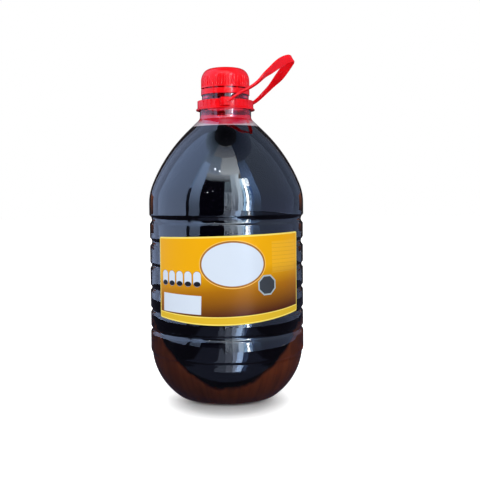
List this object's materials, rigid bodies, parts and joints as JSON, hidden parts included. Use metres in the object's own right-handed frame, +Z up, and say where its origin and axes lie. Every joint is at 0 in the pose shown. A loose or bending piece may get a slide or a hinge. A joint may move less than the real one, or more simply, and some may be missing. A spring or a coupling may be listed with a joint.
{
  "type": "soy sauce bottle",
  "caption": "Large clear plastic bottle of soy sauce with ring grooves, a domed shoulder, a screw cap, a carrying handle clipped round the neck and a wrap label.",
  "frame": {"origin": "centre of the foot ring, on the surface that the bottle stands on", "axes": "+Z up along the bottle's axis, -Y out of the label's side, +X towards the raised handle loop"},
  "size_m": [0.1636, 0.1636, 0.3607],
  "materials": {
    "clear_plastic": "clear glossy blown plastic",
    "soy_sauce": "dark brown liquid",
    "red_cap_plastic": "satin moulded plastic",
    "red_handle_plastic": "satin moulded plastic",
    "label_film": "glossy printed label"
  },
  "bodies": {
    "root": {"bottle": "clear_plastic", "sauce": "soy_sauce", "cap": "red_cap_plastic", "handle": "red_handle_plastic", "label": "label_film"}
  },
  "joints": []
}
